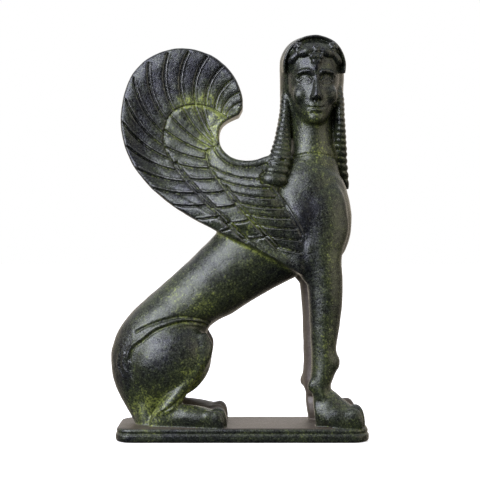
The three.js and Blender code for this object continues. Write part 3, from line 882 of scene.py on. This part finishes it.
def chase_face(skin):
    """Lids, brows, nostrils, lips and chin of a calm, plain face."""
    local = head_frame(skin.co)
    lx, ly, lz = local.T
    front = (ly < -8) & (skin.out[:, 1] < 0.2) & (np.abs(lx) < 13.5) & (lz > -21.5) & (lz < 9)

    def line(points, half, height, profile=rounded):
        skin.chase(spline(points), half, height, front, profile, local)

    def press(at, radii, height, where=front):
        skin.press(at, radii, height, local, where)

    for s in (-1, 1):
        press((s * 5.2, -15, 0.9), radii=(3.3, 4, 2.3), height=-1.4)  # socket
    skin.settle()
    for s in (-1, 1):
        press((s * 5.2, -15, 0.3), radii=(2.2, 3, 1.15), height=1.2)  # eyeball
        upper_lid = [(2.4, -0.5), (3.8, 1.2), (5.4, 1.7), (7, 1.1), (8.2, -0.1)]
        lid_crease = [(2.3, 0.7), (3.8, 2.5), (5.4, 3), (7.2, 2.4), (8.8, 0.9)]
        lower_lid = [(2.6, -0.7), (4, -1.4), (5.4, -1.6), (7, -1.1), (8.2, -0.1)]
        brow = [(1.5, 3.2), (3.2, 4.7), (5.6, 5.3), (8, 4.5), (9.8, 2.8)]
        line([(s * x, z) for x, z in upper_lid], half=0.6, height=0.55)
        line([(s * x, z) for x, z in lid_crease], half=0.6, height=-0.5)
        line([(s * x, z) for x, z in lower_lid], half=0.55, height=0.4)
        line([(s * x, z) for x, z in brow], half=1.0, height=0.4)
        press((s * 1.2, -16.8, -9.9), radii=(0.6, 1.6, 0.5), height=-0.8, where=True)  # nostril
        press((s * 3.9, -15, -12.9), radii=(0.7, 3, 0.7), height=-0.4)  # corner of the mouth
    mouth = [(-3.6, -12.9), (-1.5, -13.3), (0, -13.15), (1.5, -13.3), (3.6, -12.9)]
    line(mouth, half=0.55, height=-0.8, profile=vee)
    line([(0, -10.3), (0, -11.6)], half=0.7, height=-0.25)  # groove over the lip
    line([(-2.2, -15.9), (0, -16.1), (2.2, -15.9)], half=1.1, height=-0.4)  # hollow over the chin
    skin.settle()


# The casting's unevenness: how far apart its swells are, and how high.
UNEVEN = [(17, 0.25), (6, 0.17), (2.4, 0.07)]


def weather(skin):
    """The soft unevenness of a wax model worked by hand, less on the plinth's rim."""
    for size, height in UNEVEN:
        skin.lift += height * np.array([noise.noise(Vector(p) / size) for p in skin.co])
    skin.lift *= 0.3 + 0.7 * eased((skin.co[:, 2] - PLINTH["top"]) / 4)
    skin.settle()


# Where the salts have gathered in clouds, and where hands have rubbed them off: the middle (x, z),
# the reach each way and how much.
SALTS = [
    ((-22, 167), (12, 5), 0.65), ((-6, 160), (6, 5), 0.6), ((-13, 148), (10, 10), 1.0),
    ((-34, 156), (5, 9), 0.3), ((4, 160), (6, 7), 0.3), ((-8, 128), (9, 7), 0.25),
    ((8, 108), (14, 8), 0.3), ((26, 150), (5, 12), 0.3), ((40, 141), (9, 4), 0.45),
    ((45, 118), (6, 18), 0.35), ((4, 92), (16, 6), 0.3), ((-14, 66), (13, 9), 0.4),
    ((-28, 74), (9, 6), 0.2), ((-24, 32), (10, 10), 0.6), ((-42, 16), (12, 9), 0.8),
    ((-16, 21), (12, 6), 0.45), ((44, 80), (5, 16), 0.25), ((43, 50), (5, 14), 0.4),
    ((46, 28), (8, 8), 0.25), ((-48, 45), (4, 12), 0.2), ((37, 159), (6, 6), 0.6),
    ((-40, 176), (13, 14), -0.5), ((-50, 150), (7, 14), -0.5), ((-12, 184), (18, 8), -0.45),
    ((36, 112), (8, 12), -0.6), ((-34, 44), (10, 9), -0.4), ((-57, 34), (6, 24), -0.3),
    ((-30, 92), (12, 6), -0.4), ((-22, 124), (14, 9), -0.3), ((32, 70), (5, 30), -0.3),
]
# Creases that are lined with salts, such as the edge of the outer row and the thigh's upper line:
# the curve, how far they spread and how much.
LINED = [
    ([(-26, 109), (-11.4, 102.4), (6, 94), (22, 85.4), (31, 79.6)], 1.1, 0.6),
    ([(-53, 39.9), (-51.1, 45.2), (-45.8, 49.4), (-39.5, 54.1), (-30.1, 57.3), (-16.9, 56.8)], 1.2, 0.2),
    ([(-17, 36), (-22.5, 26.6), (-31, 18)], 1.4, 0.3),
    ([(-33.2, 160.8), (-25, 164.9), (-15, 164.2), (-6, 159)], 1.6, 0.3),
]
# Hollows, narrow and wide: the rounds of relaxing that fill one, and the depth in mm that counts as 1.
HOLLOWS = {"crease": (4, 0.2), "hollow": (40, 0.9)}


def marked(skin):
    """Writes how hollow each place is, how many salts it holds and where a warm reflection of the backdrop
    is painted on.
    """
    flat = skin.co[:, ::2]
    salts = sum(much * np.exp(-(((flat - at) / reach) ** 2).sum(1)) for at, reach, much in SALTS)
    for curve, reach, much in LINED:
        salts += much * np.exp(-((distance_to(spline(curve, 4), flat) / reach) ** 2))
    y, z = skin.co.T[1:]
    # A warm reflection of the pale backdrop is painted on the far legs' inner sides and on the plinth's
    # top.
    inward = eased((0.4 - skin.out[:, 1]) / 0.5) * eased(y / 3) * eased((96 - z) / 12)
    tread = eased((skin.out[:, 2] - 0.6) / 0.3) * eased((8 - z) / 0.5) * eased((z - 6) / 0.5)
    layers = {"salts": salts, "painted_reflection": np.maximum(inward, tread)}
    for name, (rounds, full) in HOLLOWS.items():
        layers[name] = np.clip(skin.depth(rounds) / full, -1, 1)
    for name, values in layers.items():
        layer = skin.mesh.attributes.new(name, "FLOAT", "POINT")
        layer.data.foreach_set("value", values.astype(np.float32))


def thinned(mesh):
    """The mesh within the most triangles that a piece may have."""
    mesh.calc_loop_triangles()
    share = MOST_TRIANGLES / len(mesh.loop_triangles)
    return with_modifier(mesh, "DECIMATE", ratio=share) if share < 1 else mesh


def cast_figure():
    """The whole casting: fused, softened, chased, weathered, marked and thinned, in metres."""
    skin = Skin(fused())
    soften(skin)
    chase_wings(skin)
    chase_body(skin)
    chase_face(skin)
    weather(skin)
    marked(skin)
    skin.co = (skin.co - np.array(MIDDLE)) * MM
    skin.write()
    cast = Skin(thinned(skin.mesh))
    cast.co = np.clip(cast.co, LOW, HIGH)
    cast.write()
    mesh = cast.mesh
    mesh.polygons.foreach_set("use_smooth", [True] * len(mesh.polygons))
    return mesh


casting = mesh_object("sphinx_casting", cast_figure())
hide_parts(NODE)
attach(casting, "root")

# ------------------------------------------------------------------ finish


def linear(hex_colour):
    """An sRGB hex colour as linear RGBA."""
    channels = [int(hex_colour[i:i + 2], 16) / 255 for i in (1, 3, 5)]
    return tuple(c / 12.92 if c <= 0.04045 else ((c + 0.055) / 1.055) ** 2.4 for c in channels) + (1.0,)


def node(tree, kind, links=None, output=0, **settings):
    """Adds a node with its settings and links, and returns one of its outputs.

    links gives each input a value or another node's output.
    """
    made = tree.nodes.new(kind)
    for key, value in settings.items():
        setattr(made, key, value)
    for key, value in (links or {}).items():
        socket = made.inputs[key]
        if isinstance(value, bpy.types.NodeSocket):
            tree.links.new(value, socket)
        else:
            socket.default_value = value
    return made.outputs[output] if made.outputs else None


# Patterns in the patina: size in mm, detail, roughness, and a shift that sets one apart from another.
# Real flecks and specks are finer than these, which are as coarse as they need to be to show.
PATTERNS = {
    "clouds": (22, 4, 0.6, 0),
    "mottle": (3, 5, 0.65, 3),
    "fleck": (1.0, 4, 0.75, 7),
    "speck": (0.5, 2, 0.6, 11),
}
# How much each pattern sways the salts: the bloom's flecks are sharper than the film's.
HOLLOW_SWAY = 0.35
CLOUD_SWAY = 1.2
MOTTLE_SWAY = 1.5
BLOOM_SWAY = 4.2
FILM_SWAY = 1.8
# Where each layer of the finish begins to show, where it is full, and how much covers then.
SHOWS = {
    "sheen": (0.35, 0.65, 1.0),
    "film": (-0.6, 0.6, 1.0),
    "bloom": (0.45, 1.3, 1.0),
    "salted": (0.1, 1.1, 1.0),
    # The creases' layer is painted shade, near black, yellow-green where salts lie.
    "crease_shade_and_salts": (0.2, 0.9, 0.9),
    # The convex edges' layer: paler as wear, and partly a painted highlight.
    "rubbed_highlit_edges": (0.15, 1.0, 0.6),
    "specks": (0.6, 0.72, 0.5),
}
# How strongly the painted warm reflection of the backdrop shows.
PAINTED_REFLECTION_STRENGTH = 0.8
# Colours: the metal under its patina, the thin film and the bloom of salts, painted shade in the
# creases that turns the salts' yellow-green where they lie, the rubbed edges, paler as wear and as a
# painted highlight, a painted warm reflection of the backdrop on the far legs and the plinth's top,
# and single specks. Pairs run from dark to light.
METAL = "#0a0b0c", "#2c2e32"
FILM = "#2f361f"
BLOOM = "#7d873f"
# Painted shade in the creases, near black, and the salts' yellow-green where they lie.
CREASE_SHADE_AND_SALT = "#050605", "#626c2e"
# Rubbed edges: paler as wear, and partly a painted highlight.
RUBBED_EDGE_HIGHLIGHT = "#5a5b55"
# A painted warm reflection of the backdrop, from dark to light.
REFLECTION_BROWNS = "#352e27", "#5c5246"
SPECKS = "#7c8066"
# The fine relief: how much each pattern counts, and how high in metres a full step of it stands.
FLECK_RELIEF = 1.1
SPECK_RELIEF = 0.9
MOTTLE_RELIEF = 1.8
RELIEF = 0.0001


def waxed_patinated_bronze():
    """Cast bronze under a green-black chemical patina, waxed and rubbed: a dark satin skin.

    Yellow-green salts lie in the hollows and creases, and high edges are rubbed paler. The creases are
    also painted dark as shade, the paler edges are partly a painted highlight, and a warm reflection of
    the backdrop is painted on the far legs and the plinth's top.
    """
    material = bpy.data.materials.new("waxed_patinated_bronze")
    material.use_nodes = True
    tree = material.node_tree
    tree.nodes.clear()

    crease, hollow, painted_reflection, salts = (
        node(tree, "ShaderNodeAttribute", output="Fac", attribute_name=name)
        for name in ("crease", "hollow", "painted_reflection", "salts")
    )
    place = node(tree, "ShaderNodeTexCoord", output="Object")
    grains = []
    for size_mm, detail, rough, shift in PATTERNS.values():
        moved = node(tree, "ShaderNodeMapping", {"Vector": place, "Location": (shift, shift, shift)})
        links = {"Vector": moved, "Scale": 1000 / size_mm, "Detail": detail, "Roughness": rough}
        grains.append(node(tree, "ShaderNodeTexNoise", links, output="Fac"))
    clouds, mottle, fleck, speck = grains

    # Where the salts gather: hollows and clouds, broken up by mottling and flecks.
    salts = node(tree, "ShaderNodeMath", {0: hollow, 1: HOLLOW_SWAY, 2: salts}, operation="MULTIPLY_ADD")
    for pattern, sway in ((clouds, CLOUD_SWAY), (mottle, MOTTLE_SWAY)):
        swing = node(tree, "ShaderNodeMath", {0: pattern, 1: 0.5}, operation="SUBTRACT")
        salts = node(tree, "ShaderNodeMath", {0: swing, 1: sway, 2: salts}, operation="MULTIPLY_ADD")
    swing = node(tree, "ShaderNodeMath", {0: fleck, 1: 0.5}, operation="SUBTRACT")
    bloom = node(tree, "ShaderNodeMath", {0: swing, 1: BLOOM_SWAY, 2: salts}, operation="MULTIPLY_ADD")
    film = node(tree, "ShaderNodeMath", {0: swing, 1: FILM_SWAY, 2: salts}, operation="MULTIPLY_ADD")
    # Convex places, where the paler edges get their partly painted highlight.
    raised = node(tree, "ShaderNodeMath", {0: crease, 1: -1.0}, operation="MULTIPLY")

    share = {"painted_reflection": node(tree, "ShaderNodeMath", {0: painted_reflection, 1: PAINTED_REFLECTION_STRENGTH}, operation="MULTIPLY")}
    sources = {
        "sheen": fleck, "film": film, "bloom": bloom, "salted": bloom, "crease_shade_and_salts": crease, "rubbed_highlit_edges": raised,
        "specks": speck,
    }
    for name, source in sources.items():
        begins, full, most = SHOWS[name]
        links = {"Value": source, "From Min": begins, "From Max": full, "To Max": most}
        share[name] = node(tree, "ShaderNodeMapRange", links, interpolation_type="SMOOTHSTEP")

    # Each layer's colour, then the layers one over another.
    # The creases' colour is painted shade, yellow-green where salted; the brown is a painted reflection.
    metal, crease_shade_and_salts, reflection_tint = (
        node(tree, "ShaderNodeMix", {"Factor": factor, 6: linear(a), 7: linear(b)}, 2, data_type="RGBA")
        for factor, (a, b) in ((share["sheen"], METAL), (share["salted"], CREASE_SHADE_AND_SALT), (fleck, REFLECTION_BROWNS))
    )
    layers = {
        "film": linear(FILM), "bloom": linear(BLOOM), "crease_shade_and_salts": crease_shade_and_salts, "rubbed_highlit_edges": linear(RUBBED_EDGE_HIGHLIGHT),
        "painted_reflection": reflection_tint, "specks": linear(SPECKS),
    }
    colour = metal
    for name, over in layers.items():
        links = {"Factor": share[name], 6: colour, 7: over}
        colour = node(tree, "ShaderNodeMix", links, 2, data_type="RGBA")

    # Salts, and the places with the painted reflection, are duller and less metallic than the waxed metal.
    roughness = node(tree, "ShaderNodeMath", {0: share["film"], 1: 0.1, 2: 0.05}, operation="MULTIPLY_ADD")
    for pattern, much in ((fleck, 0.3), (painted_reflection, 0.2)):
        links = {0: pattern, 1: much, 2: roughness}
        roughness = node(tree, "ShaderNodeMath", links, operation="MULTIPLY_ADD")
    covered = node(tree, "ShaderNodeMath", {0: share["film"], 1: painted_reflection}, operation="MAXIMUM")
    metallic = node(tree, "ShaderNodeMath", {0: covered, 1: -0.4, 2: 0.6}, operation="MULTIPLY_ADD")

    height = node(tree, "ShaderNodeMath", {0: mottle, 1: MOTTLE_RELIEF}, operation="MULTIPLY")
    for pattern, relief in ((speck, SPECK_RELIEF), (fleck, FLECK_RELIEF)):
        links = {0: pattern, 1: relief, 2: height}
        height = node(tree, "ShaderNodeMath", links, operation="MULTIPLY_ADD")
    bump = node(tree, "ShaderNodeBump", {"Height": height, "Strength": 1.0, "Distance": RELIEF})
    shader = node(tree, "ShaderNodeBsdfPrincipled", {
        "Base Color": colour, "Roughness": roughness, "Metallic": metallic, "Normal": bump,
    })
    node(tree, "ShaderNodeOutputMaterial", {"Surface": shader})
    return material


casting.data.materials.append(waxed_patinated_bronze())

# ------------------------------------------------------------------ camera and light

# Where the camera stands, level and square to the figure, and its lens and sensor in mm.
CAMERA = (1.05, -583, 98.3)
LENS = 87.45
SENSOR = 36

camera = bpy.data.objects.new("camera", bpy.data.cameras.new("camera"))
bpy.context.scene.collection.objects.link(camera)
camera.data.sensor_width = SENSOR
camera.data.lens = LENS
camera.location = (Vector(CAMERA) - Vector((MIDDLE.x, 0, 0))) * MM
camera.rotation_euler = (math.pi / 2, 0, 0)
bpy.context.scene.camera = camera


def light_table(name, colour, glow):
    """Matt paper lit from below."""
    material = bpy.data.materials.new(name)
    material.use_nodes = True
    shader = material.node_tree.nodes["Principled BSDF"]
    shader.inputs["Base Color"].default_value = linear(colour)
    shader.inputs["Emission Color"].default_value = linear(colour)
    shader.inputs["Emission Strength"].default_value = glow
    shader.inputs["Roughness"].default_value = 0.9
    return material


def softbox(name, at, size, watts, colour):
    """A square soft light that faces the figure's middle."""
    light = bpy.data.lights.new(name, "AREA")
    light.size, light.energy, light.color = size, watts, linear(colour)[:3]
    lamp = bpy.data.objects.new(name, light)
    bpy.context.scene.collection.objects.link(lamp)
    lamp.location = at
    lamp.rotation_euler = (Vector((0, 0, 0.1)) - lamp.location).to_track_quat("-Z", "Y").to_euler()


def studio_world():
    """A white studio: bright behind the figure, dim behind the camera, warm below and cool above."""
    world = bpy.data.worlds.new("studio")
    world.use_nodes = True
    tree = world.node_tree
    tree.nodes.clear()
    way = node(tree, "ShaderNodeTexCoord", output="Generated")
    up = node(tree, "ShaderNodeSeparateXYZ", {"Vector": way}, output="Z")
    links = {0: way, 1: (0, 0.55, 0.85)}
    towards_wall = node(tree, "ShaderNodeVectorMath", links, output="Value", operation="DOT_PRODUCT")
    cool = node(tree, "ShaderNodeMapRange", {"Value": up, "From Min": 0.1, "From Max": 0.6})
    links = {"Value": towards_wall, "From Min": -0.45, "From Max": 0.75}
    near_wall = node(tree, "ShaderNodeMapRange", links)
    links = {"Factor": cool, 6: linear("#fff0dc"), 7: linear("#f6f7ff")}
    wall = node(tree, "ShaderNodeMix", links, 2, data_type="RGBA")
    links = {"Factor": near_wall, 6: linear("#363839"), 7: wall}
    walls = node(tree, "ShaderNodeMix", links, 2, data_type="RGBA")
    lit = node(tree, "ShaderNodeBackground", {"Color": walls, "Strength": 1.15})
    seen = node(tree, "ShaderNodeBackground", {"Color": linear("#ffffff"), "Strength": 1.0})
    direct = node(tree, "ShaderNodeLightPath", output="Is Camera Ray")
    both = node(tree, "ShaderNodeMixShader", {0: direct, 1: lit, 2: seen})
    node(tree, "ShaderNodeOutputWorld", {"Surface": both})
    return world


bpy.context.scene.world = studio_world()
bpy.context.scene.view_settings.view_transform = "Standard"

softbox("key", (-0.8, -0.96, 0.6), 0.95, 36, "#e9e9ff")
softbox("fill", (0.9, -0.6, 0.3), 0.8, 4, "#fff3e2")

floor_mesh = bpy.data.meshes.new("floor")
bm = bmesh.new()
bmesh.ops.create_grid(bm, x_segments=1, y_segments=1, size=4)
bm.to_mesh(floor_mesh)
bm.free()
floor_mesh.materials.append(light_table("pale_paper", "#f8f8f8", 0.5))
floor = mesh_object("floor", floor_mesh)
floor.visible_diffuse = floor.visible_glossy = False
